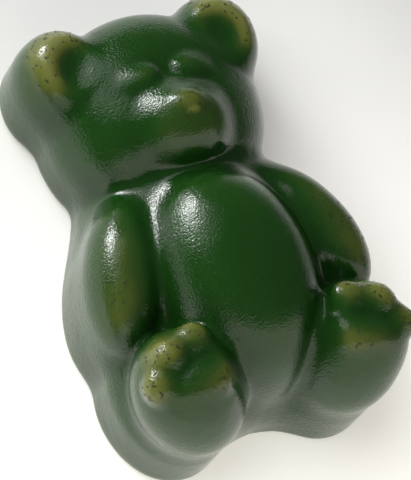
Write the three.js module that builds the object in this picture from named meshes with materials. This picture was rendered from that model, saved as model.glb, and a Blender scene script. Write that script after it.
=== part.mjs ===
// A gummy bear: one solid jelly sweet, lying on the flat back that was the open side of its starch mould.
// Millimetres. +Y points to the head and +Z to the bear's front, and the bear is the same on both sides of
// x = 0. The origin is on the flat back, under the middle of the bear's box.
//
// The shape is a field, negative inside the sweet: ellipsoid lobes melted together, with drafted walls that
// run down to the back, as a starch mould leaves them.

import * as THREE from 'three';

// Driving sizes. Each lobe has its middle, its half sizes and, where it leans, its tilt in degrees. A lobe
// with a fullness above 2 is flatter in front than an ellipsoid, with steeper flanks.
const draft = 0.012;               // how far a wall leans outwards for each millimetre down
const middleY = 0.5;               // y of the bear's middle in the lobes' own measure
const backEdge = 0.8;              // rounding where the walls meet the back
const backCut = 0.1;               // depth of that rounding that the flat back cuts off

const skull = { at: [0, 5.95, 2.05], half: [5.2, 5.1, 4.3], fullness: 2.45 };
const cheek = { at: [0.85, 4.6, 3.2], half: [2.45, 1.6, 3.0] };
const ear = { at: [3.85, 8.6, 2.2], half: [2.15, 2.48, 3.45], fullness: 2.5 };
const earDish = { at: [3.55, 8.4, 6.05], half: [1.15, 1.4, 0.95] };
const eye = { at: [1.32, 6.95, 6.07], half: [0.88, 0.66, 0.42], tilt: [-24, 26, 0] };
const snout = { at: [0, 4.48, 5.6], half: [2.27, 2.14, 2.1], tilt: [-3, 0, 0] };
const nose = { at: [0, 4.95, 7.38], half: [0.5, 0.42, 0.36] };

const torso = { at: [0, -0.95, 1.55], half: [5.3, 7.9, 4.9] };
const belly = { at: [0, -2.95, 3.2], half: [3.95, 5.6, 5.45], fullness: 2.5, tilt: [-4, 0, 0] };
const arm = { at: [4.6, -1.3, 4.1], half: [1.85, 3.75, 2.4], fullness: 2.2, turn: 21, rise: -0.09 };
const hip = { at: [3.67, -6.33, 2.6], half: [2.94, 3.7, 2.65], fullness: 2.2 };
const foot = { at: [3.97, -7.33, 5.36], half: [2.5, 2.53, 3.24], fullness: 2.15, tilt: [-27, 22, 0] };
const sole = { at: [4.45, -6.95, 8.4], half: [1.2, 0.85, 0.5] };
const pad = { at: [3.8, -7.5, 7.75], half: [1.0, 0.7, 0.5] };
const toes = { at: [[3.75, -5.65, 7.45], [5.05, -6.15, 7.5], [5.8, -7.25, 7.2]], half: [0.8, 0.8, 0.75] };

// How softly the lobes melt into each other: the width of each fillet.
const melt = {
  cheek: 2.0, ear: 0.6, dish: 0.7, eye: 0.5, nose: 0.6, snout: 0.5,
  hip: 1.6, arm: 0.8, belly: 0.6, foot: 0.6, sole: 0.7, pad: 0.6, toe: 0.3, neck: 0.45,
};

const cell = 0.54;                 // size of the cells that the surface is laid out in
const cells = [30, 44, 20];        // cells across, along and up
const firstCorner = [-8.1, -11.905, -0.535];
const settlings = 6;               // times that each corner is moved onto the surface

// The lower of two distances, with a fillet of the given width where they are alike.
function join(a, b, width) {
  const overlap = Math.max(width - Math.abs(a - b), 0) / width;
  return Math.min(a, b) - overlap * overlap * width / 4;
}

// What is left of the first shape when the second is taken away, with a fillet.
function cut(a, b, width) {
  return -join(-a, b, width);
}

// Distance to an ellipsoid with the given half sizes, from a point measured from its middle. With a fullness
// above 2 its section is a fuller curve than an ellipse.
function roundDistance([x, y, z], [a, b, c], fullness = 2) {
  const across = Math.hypot(x / a, y / b);
  const up = Math.abs(z) / c;
  const size = (across ** fullness + up ** fullness) ** (1 / fullness);
  const plan = Math.hypot(x / (a * a), y / (b * b));
  const outwards = plan * Math.max(across, 1e-6) ** (fullness - 2);
  const steepness = Math.hypot(outwards, up ** (fullness - 1) / c);
  return (size - 1) * size ** (fullness - 1) / Math.max(steepness, 1e-9);
}

// An ellipsoid with a tilt of its own.
function lobe(point, { at, half, fullness, tilt }) {
  const place = new THREE.Vector3(point[0] - at[0], point[1] - at[1], point[2] - at[2]);
  if (tilt) {
    const [tiltX, tiltY, tiltZ] = tilt.map(THREE.MathUtils.degToRad);
    place.applyEuler(new THREE.Euler(-tiltX, -tiltY, -tiltZ, 'XYZ'));
  }
  return roundDistance(place.toArray(), half, fullness);
}

// The front half of an ellipsoid, turned about Z and sheared along its length, on a drafted wall that
// runs down to the back.
function moulded(point, { at, half, fullness, turn = 0, rise = 0 }) {
  const angle = THREE.MathUtils.degToRad(turn);
  const x = point[0] - at[0];
  const y = point[1] - at[1];
  const across = x * Math.cos(angle) + y * Math.sin(angle);
  const along = y * Math.cos(angle) - x * Math.sin(angle);
  const height = point[2] - at[2] - rise * along;
  const front = [across, along, Math.max(height, 0)];
  return roundDistance(front, half, fullness) + draft * Math.min(height, 0);
}

function headField(p) {
  const face = join(moulded(p, skull), lobe(p, cheek), melt.cheek);
  const hollowEar = cut(moulded(p, ear), lobe(p, earDish), melt.dish);
  const muzzle = join(lobe(p, snout), lobe(p, nose), melt.nose);
  const withEars = join(face, hollowEar, melt.ear);
  const withEyes = join(withEars, lobe(p, eye), melt.eye);
  return join(withEyes, muzzle, melt.snout);
}

function footField(p) {
  let field = cut(lobe(p, foot), lobe(p, sole), melt.sole);
  for (const at of toes.at) {
    field = join(field, lobe(p, { at, half: toes.half }), melt.toe);
  }
  return join(field, lobe(p, pad), melt.pad);
}

function bodyField(p) {
  const trunk = join(moulded(p, torso), moulded(p, hip), melt.hip);
  const withArms = join(trunk, moulded(p, arm), melt.arm);
  const withBelly = join(withArms, lobe(p, belly), melt.belly);
  return join(withBelly, footField(p), melt.foot);
}

function bearField(x, y, z) {
  const p = [Math.abs(x), y + middleY, z + backCut];
  const whole = join(headField(p), bodyField(p), melt.neck);
  return cut(whole, p[2], backEdge);
}

// Direction in which the field rises fastest, as long as its steepness.
function slopeAt(field, { x, y, z }) {
  const step = 0.01;
  return new THREE.Vector3(
    field(x + step, y, z) - field(x - step, y, z),
    field(x, y + step, z) - field(x, y - step, z),
    field(x, y, z + step) - field(x, y, z - step),
  ).divideScalar(2 * step);
}

// The surface where a field is zero, as a closed mesh: a corner in each cell that the surface passes
// through, and two triangles across each edge between cells that it crosses.
function surfaceOf(field, start, steps, size) {
  const count = steps.map((step) => step + 1);
  const strides = [1, count[0], count[0] * count[1]];
  const nodePlace = (node) => [0, 1, 2].map((axis) => {
    const step = Math.floor(node / strides[axis]) % count[axis];
    return start[axis] + step * size;
  });
  const values = new Float64Array(count[0] * count[1] * count[2]);
  for (let node = 0; node < values.length; node += 1) {
    values[node] = field(...nodePlace(node));
  }

  const corners = [];
  const cornerOf = new Map();
  const cornerIn = (node) => {
    if (!cornerOf.has(node)) {
      const place = new THREE.Vector3();
      let crossings = 0;
      for (const axis of [0, 1, 2]) {
        const [one, two] = strides.filter((_, other) => other !== axis);
        for (const from of [node, node + one, node + two, node + one + two]) {
          const [near, far] = [values[from], values[from + strides[axis]]];
          if (near < 0 !== far < 0) {
            const crossing = new THREE.Vector3(...nodePlace(from));
            crossing.setComponent(axis, crossing.getComponent(axis) + size * near / (near - far));
            place.add(crossing);
            crossings += 1;
          }
        }
      }
      cornerOf.set(node, corners.length);
      corners.push(place.divideScalar(crossings));
    }
    return cornerOf.get(node);
  };

  const triangles = [];
  for (let node = 0; node < values.length; node += 1) {
    for (const axis of [0, 1, 2]) {
      const next = node + strides[axis];
      if (next < values.length && values[node] < 0 !== values[next] < 0) {
        const [one, two] = [strides[(axis + 1) % 3], strides[(axis + 2) % 3]];
        const ring = [node, node - one, node - one - two, node - two].map(cornerIn);
        const [a, b, c, d] = values[node] < 0 ? ring : ring.reverse();
        const shortWay = corners[a].distanceTo(corners[c]) < corners[b].distanceTo(corners[d]);
        triangles.push(...(shortWay ? [a, b, c, a, c, d] : [a, b, d, b, c, d]));
      }
    }
  }

  for (const corner of corners) {
    for (let settling = 0; settling < settlings; settling += 1) {
      const slope = slopeAt(field, corner);
      const height = field(corner.x, corner.y, corner.z);
      corner.addScaledVector(slope, -height / Math.max(slope.lengthSq(), 0.25));
    }
    corner.z = Math.max(corner.z, 0);
  }

  const geometry = new THREE.BufferGeometry().setFromPoints(corners);
  geometry.setIndex(triangles);
  geometry.computeVertexNormals();
  return geometry;
}

// The jelly with its back flat at z = 0.
function makeBear() {
  const jelly = surfaceOf(bearField, firstCorner, cells, cell);
  const green = new THREE.MeshStandardMaterial({ color: 0x2a5a22, roughness: 0.22, metalness: 0 });
  const bear = new THREE.Mesh(jelly, green);
  bear.name = 'bear';
  return bear;
}

const gummyBear = new THREE.Group();
gummyBear.add(makeBear());

export default gummyBear;
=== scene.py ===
# A green gummy bear, lying on its flat back on a pale floor.
import math

import bmesh
import bpy
import numpy as np
from mathutils import Euler, Matrix, Quaternion, Vector, noise


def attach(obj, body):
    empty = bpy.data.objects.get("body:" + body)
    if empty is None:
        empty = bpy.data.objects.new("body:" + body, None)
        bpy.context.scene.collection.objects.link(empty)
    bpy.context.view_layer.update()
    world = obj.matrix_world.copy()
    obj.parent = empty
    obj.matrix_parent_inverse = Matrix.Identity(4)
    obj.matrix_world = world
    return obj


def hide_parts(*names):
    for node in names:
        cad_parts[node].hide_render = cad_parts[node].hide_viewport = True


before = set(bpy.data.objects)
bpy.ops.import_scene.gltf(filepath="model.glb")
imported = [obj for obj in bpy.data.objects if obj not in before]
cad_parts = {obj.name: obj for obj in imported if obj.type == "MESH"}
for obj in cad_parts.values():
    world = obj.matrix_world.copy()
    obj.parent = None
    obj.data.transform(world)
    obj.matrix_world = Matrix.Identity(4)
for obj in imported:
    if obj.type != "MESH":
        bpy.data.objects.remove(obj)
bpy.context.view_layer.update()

scene = bpy.context.scene
millimetre = 0.001
print("frame loaded:", sorted(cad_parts))


# The camera comes first.
cameraSetup = {
    "yaw": 22.48,            # degrees that the camera stands round to the bear's right
    "pitch": 14.38,          # degrees that it stands towards the feet
    "roll": 20.5,            # degrees that the bear leans over to the left in the picture
    "distance": 0.15,
    "target": (0, -0.0005, 0.00327),
    "aside": 0.000226,       # how far the view is moved right and down
    "down": 0.000244,
    "lens": 249.1,
}


def makeCamera(setup):
    yaw, pitch, roll = (math.radians(setup[name]) for name in ("yaw", "pitch", "roll"))
    back = Vector((-math.sin(yaw) * math.cos(pitch), -math.sin(pitch), math.cos(yaw) * math.cos(pitch)))
    level = Vector((math.cos(yaw), 0, math.sin(yaw)))
    upright = back.cross(level)
    right = level * math.cos(roll) - upright * math.sin(roll)
    up = level * math.sin(roll) + upright * math.cos(roll)
    data = bpy.data.cameras.new("camera")
    data.lens = setup["lens"]
    data.clip_start = 0.01
    data.clip_end = 10
    camera = bpy.data.objects.new("camera", data)
    scene.collection.objects.link(camera)
    camera.rotation_mode = "QUATERNION"
    camera.rotation_quaternion = Matrix((right, up, back)).transposed().to_quaternion()
    camera.location = (Vector(setup["target"]) + back * setup["distance"]
                       + right * setup["aside"] - up * setup["down"])
    scene.camera = camera


makeCamera(cameraSetup)
print("camera set")


# The shape of the sweet, in millimetres: lobes melted together, as in its mould. Each has its middle and its
# half sizes, its tilt in degrees where it leans, and a fullness above 2 where its front is flatter and its
# flanks are steeper than an ellipsoid's.
bearShape = {
    "draft": 0.012,          # how far a wall leans outwards for each millimetre down
    "middleY": 0.5,          # y of the bear's middle in the lobes' own measure
    "backEdge": 0.8,         # rounding where the walls meet the back
    "backCut": 0.1,          # depth of that rounding that the flat back cuts off
    "skull": {"at": (0, 5.95, 2.05), "half": (5.2, 5.1, 4.3), "fullness": 2.45},
    "cheek": {"at": (0.85, 4.6, 3.2), "half": (2.45, 1.6, 3.0)},
    "ear": {"at": (3.85, 8.6, 2.2), "half": (2.15, 2.48, 3.45), "fullness": 2.5},
    "earDish": {"at": (3.55, 8.4, 6.05), "half": (1.15, 1.4, 0.95)},
    "eye": {"at": (1.32, 6.95, 6.07), "half": (0.88, 0.66, 0.42), "tilt": (-24, 26, 0)},
    "snout": {"at": (0, 4.48, 5.6), "half": (2.27, 2.14, 2.1), "tilt": (-3, 0, 0)},
    "nose": {"at": (0, 4.95, 7.38), "half": (0.5, 0.42, 0.36)},
    "torso": {"at": (0, -0.95, 1.55), "half": (5.3, 7.9, 4.9)},
    "belly": {"at": (0, -2.95, 3.2), "half": (3.95, 5.6, 5.45), "fullness": 2.5, "tilt": (-4, 0, 0)},
    "arm": {"at": (4.6, -1.3, 4.1), "half": (1.85, 3.75, 2.4), "fullness": 2.2, "turn": 21, "rise": -0.09},
    "hip": {"at": (3.67, -6.33, 2.6), "half": (2.94, 3.7, 2.65), "fullness": 2.2},
    "foot": {"at": (3.97, -7.33, 5.36), "half": (2.5, 2.53, 3.24), "fullness": 2.15, "tilt": (-27, 22, 0)},
    "sole": {"at": (4.45, -6.95, 8.4), "half": (1.2, 0.85, 0.5)},
    "pad": {"at": (3.8, -7.5, 7.75), "half": (1.0, 0.7, 0.5)},
    "toes": ((3.75, -5.65, 7.45), (5.05, -6.15, 7.5), (5.8, -7.25, 7.2)),
    "toeHalf": (0.8, 0.8, 0.75),
}
melt = {                     # widths of the fillets between lobes
    "cheek": 2.0, "ear": 0.6, "dish": 0.7, "eye": 0.5, "nose": 0.6, "snout": 0.5,
    "hip": 1.6, "arm": 0.8, "belly": 0.6, "foot": 0.6, "sole": 0.7, "pad": 0.6, "toe": 0.3, "neck": 0.45,
}
gentlest = 0.25              # least squared steepness by which the field is divided


def join(a, b, width):       # the lower of two distances, with a fillet
    overlap = np.maximum(width - np.abs(a - b), 0) / width
    return np.minimum(a, b) - overlap * overlap * width / 4


def cut(a, b, width):        # the first shape without the second
    return -join(-a, b, width)


def roundDistance(p, half, fullness=2):        # distance to an ellipsoid or a fuller form, from its middle
    across = np.hypot(p[:, 0] / half[0], p[:, 1] / half[1])
    up = np.abs(p[:, 2]) / half[2]
    size = (across ** fullness + up ** fullness) ** (1 / fullness)
    plan = np.hypot(p[:, 0] / half[0] ** 2, p[:, 1] / half[1] ** 2)
    steepness = np.hypot(plan * np.maximum(across, 1e-6) ** (fullness - 2), up ** (fullness - 1) / half[2])
    return (size - 1) * size ** (fullness - 1) / np.maximum(steepness, 1e-9)


def lobe(p, form):           # a whole lobe, with a tilt of its own
    place = p - np.array(form["at"])
    if "tilt" in form:
        turn = Euler([math.radians(angle) for angle in form["tilt"]]).to_matrix()
        place = place @ np.array(turn)
    return roundDistance(place, form["half"], form.get("fullness", 2))


def moulded(p, form):        # the front half of a lobe on a drafted wall down to the back
    angle = math.radians(form.get("turn", 0))
    place = p - np.array(form["at"])
    across = place[:, 0] * math.cos(angle) + place[:, 1] * math.sin(angle)
    along = place[:, 1] * math.cos(angle) - place[:, 0] * math.sin(angle)
    height = place[:, 2] - form.get("rise", 0) * along
    front = np.stack([across, along, np.maximum(height, 0)], 1)
    distance = roundDistance(front, form["half"], form.get("fullness", 2))
    return distance + bearShape["draft"] * np.minimum(height, 0)


def headField(p):
    shape = bearShape
    face = join(moulded(p, shape["skull"]), lobe(p, shape["cheek"]), melt["cheek"])
    hollowEar = cut(moulded(p, shape["ear"]), lobe(p, shape["earDish"]), melt["dish"])
    muzzle = join(lobe(p, shape["snout"]), lobe(p, shape["nose"]), melt["nose"])
    withEars = join(face, hollowEar, melt["ear"])
    withEyes = join(withEars, lobe(p, shape["eye"]), melt["eye"])
    return join(withEyes, muzzle, melt["snout"])


def footField(p):
    shape = bearShape
    field = cut(lobe(p, shape["foot"]), lobe(p, shape["sole"]), melt["sole"])
    for at in shape["toes"]:
        field = join(field, lobe(p, {"at": at, "half": shape["toeHalf"]}), melt["toe"])
    return join(field, lobe(p, shape["pad"]), melt["pad"])


def bodyField(p):
    shape = bearShape
    trunk = join(moulded(p, shape["torso"]), moulded(p, shape["hip"]), melt["hip"])
    withArms = join(trunk, moulded(p, shape["arm"]), melt["arm"])
    withBelly = join(withArms, lobe(p, shape["belly"]), melt["belly"])
    return join(withBelly, footField(p), melt["foot"])


def lobePlace(points):       # points in metres as the lobes measure them, both halves alike
    place = points / millimetre + np.array([0, bearShape["middleY"], bearShape["backCut"]])
    place[:, 0] = np.abs(place[:, 0])
    return place


def bearField(points):       # distance from the skin at points in metres, in millimetres
    p = lobePlace(points)
    whole = join(headField(p), bodyField(p), melt["neck"])
    return cut(whole, p[:, 2], bearShape["backEdge"])


def outwards(points):        # direction in which the field rises, as long as its steepness
    step = 0.01 * millimetre
    rise = []
    for axis in range(3):
        shift = np.zeros(3)
        shift[axis] = step
        rise.append((bearField(points + shift) - bearField(points - shift)) / (2 * step / millimetre))
    return np.stack(rise, 1)


# The fine skin, with how thin the jelly is at each of its corners, a measure that also carries the painted
# light and shade of the jelly's colour.
skin = {
    "voxel": 0.00011,        # size of its faces, in metres
    "settlings": 4,          # times that each corner is moved onto the shape
    "swell": 0.02,           # height of the broad unevenness, in millimetres
    "swellWidth": 1.6,
    "ripple": 0.005,         # height of the fine unevenness
    "rippleWidth": 0.42,
    "feelers": 26,           # places round each corner where the jelly is felt for
    "reaches": (0.8, 1.6),   # how far those places lie from it, in millimetres
    "softness": 0.8,         # depth over which a place goes from inside to outside, as a share of its reach
    "backLoss": 0.12,        # how much thicker the jelly seems at the back
    "backReach": 2.5,        # height to which it does
    "backBand": 0.02,        # height below which the back stays flat
}
paintedLightTips = {                     # painted light: pale tips, where the jelly lets more light through, and a painted reflection by the nose
    "ears": {"at": (3.95, 8.95, 4.4), "half": (1.9, 2.1, 2.4), "lift": 0.085},
    "toes": {"at": (5.0, -6.2, 7.4), "half": (1.9, 1.6, 1.2), "lift": 0.062},
    # painted reflection: a pale beige spot by the nose
    "noseReflection": {"at": (0, 4.45, 7.65), "half": (0.4, 0.25, 0.4), "lift": 0.3},
    "arms": {"at": (4.9, -2.4, 6.1), "half": (2.0, 2.9, 1.5), "lift": 0.034},
}
tipFade = 0.7                # depth in a tip at which it is palest


def plainMesh(source, name):
    mesh = bpy.data.meshes.new_from_object(source.evaluated_get(bpy.context.evaluated_depsgraph_get()))
    mesh.name = name
    return mesh


def cornersOf(mesh):
    corners = np.zeros(len(mesh.vertices) * 3)
    mesh.vertices.foreach_get("co", corners)
    return corners.reshape(-1, 3)


def unevenness(points):
    heights = np.empty(len(points))
    for index, point in enumerate(points / millimetre):
        place = Vector(point)
        heights[index] = (skin["swell"] * noise.noise(place / skin["swellWidth"])
                          + skin["ripple"] * noise.noise(place / skin["rippleWidth"]))
    return heights * millimetre


def thinnessAndLightAt(points):      # how much of the space round each point lies outside the sweet, low in hollows for painted shade and raised at the tips by painted light
    steps = np.arange(skin["feelers"]) + 0.5
    drop = np.arccos(1 - 2 * steps / skin["feelers"])
    turn = math.pi * (1 + math.sqrt(5)) * steps
    feelers = np.stack([np.cos(turn) * np.sin(drop), np.sin(turn) * np.sin(drop), np.cos(drop)], 1)
    outside = np.zeros(len(points))
    for reach in skin["reaches"]:
        for feeler in feelers:
            depth = bearField(points + feeler * reach * millimetre)
            outside += np.clip(0.5 + depth / (skin["softness"] * reach), 0, 1)
    outside /= skin["feelers"] * len(skin["reaches"])
    place = lobePlace(points)
    outside -= skin["backLoss"] * np.clip(1 - place[:, 2] / skin["backReach"], 0, 1)
    # painted light at the tips, and a painted reflection by the nose
    for tip in paintedLightTips.values():
        outside += tip["lift"] * np.clip(-lobe(place, tip) / tipFade, 0, 1)
    return outside


def setAttribute(mesh, name, values):
    attribute = mesh.attributes.new(name, "FLOAT", "POINT")
    attribute.data.foreach_set("value", values.astype(np.float32))


def makeSkin(node):
    rough = bpy.data.objects.new("roughBear", node.data.copy())
    scene.collection.objects.link(rough)
    merged = bmesh.new()
    merged.from_mesh(rough.data)
    bmesh.ops.remove_doubles(merged, verts=merged.verts, dist=1e-6)
    merged.to_mesh(rough.data)
    merged.free()
    remesh = rough.modifiers.new("fine", "REMESH")
    remesh.mode = "VOXEL"
    remesh.voxel_size = skin["voxel"]
    mesh = plainMesh(rough, "bearSkin")
    bpy.data.objects.remove(rough)

    corners = cornersOf(mesh)
    for settling in range(skin["settlings"]):
        slope = outwards(corners)
        steepness = np.maximum((slope ** 2).sum(1), gentlest)
        corners -= slope * (bearField(corners) / steepness)[:, None] * millimetre
    slope = outwards(corners)
    normal = slope / np.linalg.norm(slope, axis=1)[:, None]
    onBack = corners[:, 2] < skin["backBand"] * millimetre
    corners += normal * np.where(onBack, 0, unevenness(corners))[:, None]
    corners[:, 2] = np.maximum(corners[:, 2], 0)
    mesh.vertices.foreach_set("co", corners.ravel())
    mesh.update()
    mesh.shade_smooth()
    mesh.materials.clear()

    setAttribute(mesh, "thinnessAndPaintedLight", thinnessAndLightAt(corners))
    bear = bpy.data.objects.new("jellyBear", mesh)
    scene.collection.objects.link(bear)
    print("skin:", len(mesh.vertices), "corners,", len(mesh.polygons), "faces")
    return bear


bear = makeSkin(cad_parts["bear"])


# The jelly: green where it is thick, olive where it is thin, with a fine grain. The olive is painted light
# shining through thin jelly, and the deep green in hollows is painted shade.
jelly = {
    "tintsWithPaintedLight": (               # thinness, and the colour there: deep green as painted shade in hollows, olive as painted light through thin jelly
        (0.50, (0.0066, 0.0370, 0.0042)),
        (0.57, (0.0096, 0.0480, 0.0058)),
        (0.63, (0.0260, 0.0590, 0.0100)),
        (0.70, (0.1050, 0.1230, 0.0230)),
        (0.76, (0.1500, 0.1600, 0.0480)),
    ),
    "cloudScale": 450.0,
    "cloudDepth": 0.05,      # how far the tints wander
    "cloudRange": (0.3, 0.7),            # values of the cloud that give the least and the most roughness
    "roughness": (0.06, 0.11),
    "grainWidth": 0.000105,
    "grainDepth": 0.000031,
    "patchScale": 260.0,     # for the patches where the grain is stronger or weaker
    "patchRange": (0.35, 0.65),          # values of a patch that give the weakest and the strongest grain
    "patchStrength": (0.35, 1.0),
    "under": 0.35,           # share of the light that goes under the skin
    "underScale": 0.001,
    "underRadius": (0.6, 1.0, 0.35),
}


def addNode(tree, kind, inputs=None, **settings):
    node = tree.nodes.new(kind)
    for name, value in settings.items():
        setattr(node, name, value)
    for name, value in (inputs or {}).items():
        if isinstance(value, bpy.types.NodeSocket):
            tree.links.new(value, node.inputs[name])
        else:
            node.inputs[name].default_value = value
    return node


def spread(tree, value, source, target=(0, 1), curve="LINEAR"):      # moves a value from one range to another
    moved = addNode(tree, "ShaderNodeMapRange",
                    {"Value": value, "From Min": source[0], "From Max": source[1],
                     "To Min": target[0], "To Max": target[1]}, interpolation_type=curve)
    return moved.outputs["Result"]


def mixColours(tree, share, first, second):
    mix = addNode(tree, "ShaderNodeMix", {"Factor": share}, data_type="RGBA")
    mix.inputs[6].default_value = first
    mix.inputs[7].default_value = second
    return mix.outputs[2]


def newMaterial(name):
    material = bpy.data.materials.new(name)
    material.use_nodes = True
    material.node_tree.nodes.clear()
    return material, material.node_tree


def jellyMaterial():
    material, tree = newMaterial("greenJelly")
    place = addNode(tree, "ShaderNodeTexCoord").outputs["Object"]
    thinnessAndPaintedLight = addNode(tree, "ShaderNodeAttribute", attribute_name="thinnessAndPaintedLight").outputs["Fac"]
    cloud = addNode(tree, "ShaderNodeTexNoise", {"Vector": place, "Scale": jelly["cloudScale"], "Detail": 3.0})
    wander = addNode(tree, "ShaderNodeMath", {0: cloud.outputs["Fac"], 1: jelly["cloudDepth"],
                                              2: -jelly["cloudDepth"] / 2}, operation="MULTIPLY_ADD")
    felt = addNode(tree, "ShaderNodeMath", {0: thinnessAndPaintedLight, 1: wander.outputs[0]}, operation="ADD")
    # painted light and shade: the thinness measure picks the colour, deep green in hollows and olive at thin
    # parts and tips
    first, last = jelly["tintsWithPaintedLight"][0][0], jelly["tintsWithPaintedLight"][-1][0]
    along = spread(tree, felt.outputs[0], (first, last))
    tint = addNode(tree, "ShaderNodeValToRGB", {"Fac": along})
    ramp = tint.color_ramp
    while len(ramp.elements) < len(jelly["tintsWithPaintedLight"]):
        ramp.elements.new(0.5)
    for element, (thin, colour) in zip(ramp.elements, jelly["tintsWithPaintedLight"]):
        element.position = (thin - first) / (last - first)
        element.color = (*colour, 1)

    grain = addNode(tree, "ShaderNodeTexNoise",
                    {"Vector": place, "Scale": 1 / jelly["grainWidth"], "Detail": 2.0, "Roughness": 0.5})
    patch = addNode(tree, "ShaderNodeTexNoise", {"Vector": place, "Scale": jelly["patchScale"], "Detail": 1.0})
    strength = spread(tree, patch.outputs["Fac"], jelly["patchRange"], jelly["patchStrength"])
    bump = addNode(tree, "ShaderNodeBump",
                   {"Height": grain.outputs["Fac"], "Strength": strength, "Distance": jelly["grainDepth"]})
    rough = spread(tree, cloud.outputs["Fac"], jelly["cloudRange"], jelly["roughness"])
    surface = addNode(tree, "ShaderNodeBsdfPrincipled",
                      {"Base Color": tint.outputs["Color"], "Roughness": rough,
                       "Normal": bump.outputs["Normal"], "IOR": 1.5,
                       "Subsurface Weight": jelly["under"], "Subsurface Scale": jelly["underScale"],
                       "Subsurface Radius": jelly["underRadius"]})
    output = addNode(tree, "ShaderNodeOutputMaterial")
    tree.links.new(surface.outputs["BSDF"], output.inputs["Surface"])
    return material


bear.data.materials.append(jellyMaterial())
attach(bear, "root")
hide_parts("bear")
print("jelly finished")


# Tiny dark specks in the pale tips, strewn over the skin.
specks = {
    "density": 8.0e6,        # specks on a square metre where they lie thickest
    "thinFrom": 0.60,        # thinness at which they begin, and at which they lie thickest
    "thinTo": 0.7,
    "radius": 0.00005,
    "widths": (0.5, 1.3),    # narrowest and widest, as shares of that radius
    "stretch": 2.3,          # how much longer than wide the longest are
    "flatness": 0.35,
    "seed": 5,
    "widthSeed": 3,
    "spinSeed": 7,
    "colour": (0.012, 0.018, 0.005),
    "paler": 2.5,            # how much lighter the lightest are
}


def speckMaterial():
    material, tree = newMaterial("darkSpeck")
    place = addNode(tree, "ShaderNodeTexCoord").outputs["Object"]
    cloud = addNode(tree, "ShaderNodeTexNoise", {"Vector": place, "Scale": 3000.0, "Detail": 1.0})
    dark = (*specks["colour"], 1)
    light = (*(specks["paler"] * part for part in specks["colour"]), 1)
    tint = mixColours(tree, cloud.outputs["Fac"], dark, light)
    surface = addNode(tree, "ShaderNodeBsdfPrincipled", {"Base Color": tint, "Roughness": 0.35})
    output = addNode(tree, "ShaderNodeOutputMaterial")
    tree.links.new(surface.outputs["BSDF"], output.inputs["Surface"])
    return material


def scatterTree(material):
    tree = bpy.data.node_groups.new("scatterSpecks", "GeometryNodeTree")
    interface = tree.interface
    interface.new_socket("Geometry", in_out="INPUT", socket_type="NodeSocketGeometry")
    for name in ("Density", "Thin From", "Thin To", "Radius", "Stretch", "Flatness"):
        interface.new_socket(name, in_out="INPUT", socket_type="NodeSocketFloat")
    interface.new_socket("Seed", in_out="INPUT", socket_type="NodeSocketInt")
    interface.new_socket("Geometry", in_out="OUTPUT", socket_type="NodeSocketGeometry")
    given = tree.nodes.new("NodeGroupInput").outputs
    thinnessAndPaintedLight = addNode(tree, "GeometryNodeInputNamedAttribute", {"Name": "thinnessAndPaintedLight"}, data_type="FLOAT")
    share = spread(tree, thinnessAndPaintedLight.outputs["Attribute"], (given["Thin From"], given["Thin To"]))
    thickness = addNode(tree, "ShaderNodeMath", {0: share, 1: given["Density"]}, operation="MULTIPLY")
    strewn = addNode(tree, "GeometryNodeDistributePointsOnFaces",
                     {"Mesh": given["Geometry"], "Density": thickness.outputs[0], "Seed": given["Seed"]})
    grain = addNode(tree, "GeometryNodeMeshIcoSphere", {"Radius": 1.0, "Subdivisions": 1})
    length = addNode(tree, "FunctionNodeRandomValue",
                     {"Min": 1.0, "Max": given["Stretch"], "Seed": given["Seed"]}, data_type="FLOAT")
    form = addNode(tree, "ShaderNodeCombineXYZ", {"X": length.outputs[1], "Y": 1.0, "Z": given["Flatness"]})
    narrowest, widest = specks["widths"]
    width = addNode(tree, "FunctionNodeRandomValue",
                    {"Min": narrowest, "Max": widest, "Seed": specks["widthSeed"]}, data_type="FLOAT")
    radius = addNode(tree, "ShaderNodeMath", {0: width.outputs[1], 1: given["Radius"]}, operation="MULTIPLY")
    scale = addNode(tree, "ShaderNodeVectorMath", {0: form.outputs[0], "Scale": radius.outputs[0]},
                    operation="SCALE")
    spin = addNode(tree, "FunctionNodeRandomValue", {"Min": 0.0, "Max": math.tau, "Seed": specks["spinSeed"]},
                   data_type="FLOAT")
    about = addNode(tree, "ShaderNodeCombineXYZ", {"Z": spin.outputs[1]})
    turned = addNode(tree, "FunctionNodeRotateRotation", {"Rotation": strewn.outputs["Rotation"]},
                     rotation_space="LOCAL")
    tree.links.new(about.outputs[0], turned.inputs["Rotate By"])
    placed = addNode(tree, "GeometryNodeInstanceOnPoints",
                     {"Points": strewn.outputs["Points"], "Instance": grain.outputs["Mesh"],
                      "Rotation": turned.outputs[0], "Scale": scale.outputs[0]})
    real = addNode(tree, "GeometryNodeRealizeInstances", {"Geometry": placed.outputs[0]})
    dressed = addNode(tree, "GeometryNodeSetMaterial", {"Geometry": real.outputs[0], "Material": material})
    output = tree.nodes.new("NodeGroupOutput")
    tree.links.new(dressed.outputs[0], output.inputs["Geometry"])
    return tree


def makeSpecks(ground):
    carrier = bpy.data.objects.new("speckCarrier", ground.data)
    scene.collection.objects.link(carrier)
    scatter = carrier.modifiers.new("scatter", "NODES")
    scatter.node_group = scatterTree(speckMaterial())
    values = {"Density": specks["density"], "Thin From": specks["thinFrom"], "Thin To": specks["thinTo"],
              "Radius": specks["radius"], "Stretch": specks["stretch"], "Flatness": specks["flatness"],
              "Seed": specks["seed"]}
    for socket in scatter.node_group.interface.items_tree:
        if socket.in_out == "INPUT" and socket.name in values:
            scatter[socket.identifier] = values[socket.name]
    mesh = plainMesh(carrier, "jellySpecks")
    bpy.data.objects.remove(carrier)
    piece = bpy.data.objects.new("jellySpecks", mesh)
    scene.collection.objects.link(piece)
    print("specks:", len(mesh.polygons), "faces")
    return piece


speckPiece = makeSpecks(bear)
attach(speckPiece, "root")
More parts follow.
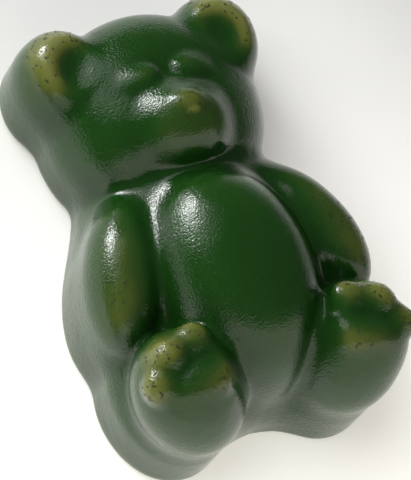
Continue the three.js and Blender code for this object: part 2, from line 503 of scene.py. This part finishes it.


# A pale paper floor under soft studio light, brightest towards the feet from a painted glow and darker far
# away on the right from a painted shade.
room = {
    "floor": (0.82, 0.82, 0.81),
    "floorFarShade": (0.42, 0.42, 0.41),      # painted shade: the floor far away on the right
    "fadeFrom": 0.009,                   # x at which it begins to darken
    "fadeTo": 0.03,
    "floorSize": 3.0,
    "worldGlow": 0.07,
    "floorGlow": 0.6,                    # painted glow: how brightly the floor shines of itself towards the feet
    "glowWay": (-0.35, -0.94, 0),
    "glowReach": 0.015,                  # how far from the bear's middle the glow begins and is full
    "glowTint": (1, 0.965, 0.88),
}
lamps = {
    "window": {"at": (-0.172, 0.34, 0.11), "size": (0.2, 0.17), "radiance": 4.6},
    "windowHigh": {"at": (-0.138, 0.296, 0.264), "size": (0.26, 0.11), "radiance": 1.3},
    "windowLow": {"at": (-0.15, 0.353, 0.06), "size": (0.11, 0.085), "radiance": 21.0},
    "card": {"at": (0, -0.35, 0.21), "facing": (0, 1, 0), "roll": -7, "size": (1.3, 0.42), "radiance": 1.08,
             "tint": (1, 0.955, 0.83)},
    "overhead": {"at": (-0.38, 0.36, 0.72), "size": (0.9, 0.9), "radiance": 2.9, "onlyMatt": True},
}


def makeFloor():
    half = room["floorSize"] / 2
    mesh = bpy.data.meshes.new("floor")
    corners = [(-half, -half, 0), (half, -half, 0), (half, half, 0), (-half, half, 0)]
    mesh.from_pydata(corners, [], [(0, 1, 2, 3)])
    floor = bpy.data.objects.new("floor", mesh)
    scene.collection.objects.link(floor)
    material, tree = newMaterial("palePaperWithPaintedLight")
    place = addNode(tree, "ShaderNodeTexCoord").outputs["Object"]
    # painted light: the floor glows of itself, fully towards the feet and not at all towards the head
    feetwards = addNode(tree, "ShaderNodeVectorMath", {0: place, 1: room["glowWay"]}, operation="DOT_PRODUCT")
    reach = (-room["glowReach"], room["glowReach"])
    glow = spread(tree, feetwards.outputs["Value"], reach, (0, room["floorGlow"]))
    # painted shade: the floor is darker far away on the right
    leftwards = addNode(tree, "ShaderNodeVectorMath", {0: place, 1: (-1, 0, 0)}, operation="DOT_PRODUCT")
    near = spread(tree, leftwards.outputs["Value"], (-room["fadeTo"], -room["fadeFrom"]), curve="SMOOTHSTEP")
    paperWithShade = mixColours(tree, near, (*room["floorFarShade"], 1), (*room["floor"], 1))
    surface = addNode(tree, "ShaderNodeBsdfPrincipled",
                      {"Base Color": paperWithShade, "Roughness": 0.9, "Specular IOR Level": 0.1,
                       "Emission Color": (*room["glowTint"], 1), "Emission Strength": glow})
    output = addNode(tree, "ShaderNodeOutputMaterial")
    tree.links.new(surface.outputs["BSDF"], output.inputs["Surface"])
    mesh.materials.append(material)


def makeLamp(name, lamp):
    data = bpy.data.lights.new(name, "AREA")
    data.shape = "RECTANGLE"
    data.size, data.size_y = lamp["size"]
    data.energy = lamp["radiance"] * math.pi * data.size * data.size_y
    data.color = lamp.get("tint", (1, 1, 1))
    light = bpy.data.objects.new(name, data)
    scene.collection.objects.link(light)
    light.location = lamp["at"]
    facing = Vector(lamp.get("facing", -light.location))
    light.rotation_mode = "QUATERNION"
    roll = Quaternion((0, 0, 1), math.radians(lamp.get("roll", 0)))
    light.rotation_quaternion = (-facing).to_track_quat("Z", "Y") @ roll
    light.visible_glossy = not lamp.get("onlyMatt", False)
    light.visible_camera = False


def makeWorld():
    world = bpy.data.worlds.new("studio")
    world.use_nodes = True
    glow = world.node_tree.nodes["Background"]
    glow.inputs["Color"].default_value = (1, 1, 1, 1)
    glow.inputs["Strength"].default_value = room["worldGlow"]
    scene.world = world


makeFloor()
makeWorld()
for name, lamp in lamps.items():
    makeLamp(name, lamp)
scene.view_settings.view_transform = "Standard"
print("floor and lights set")
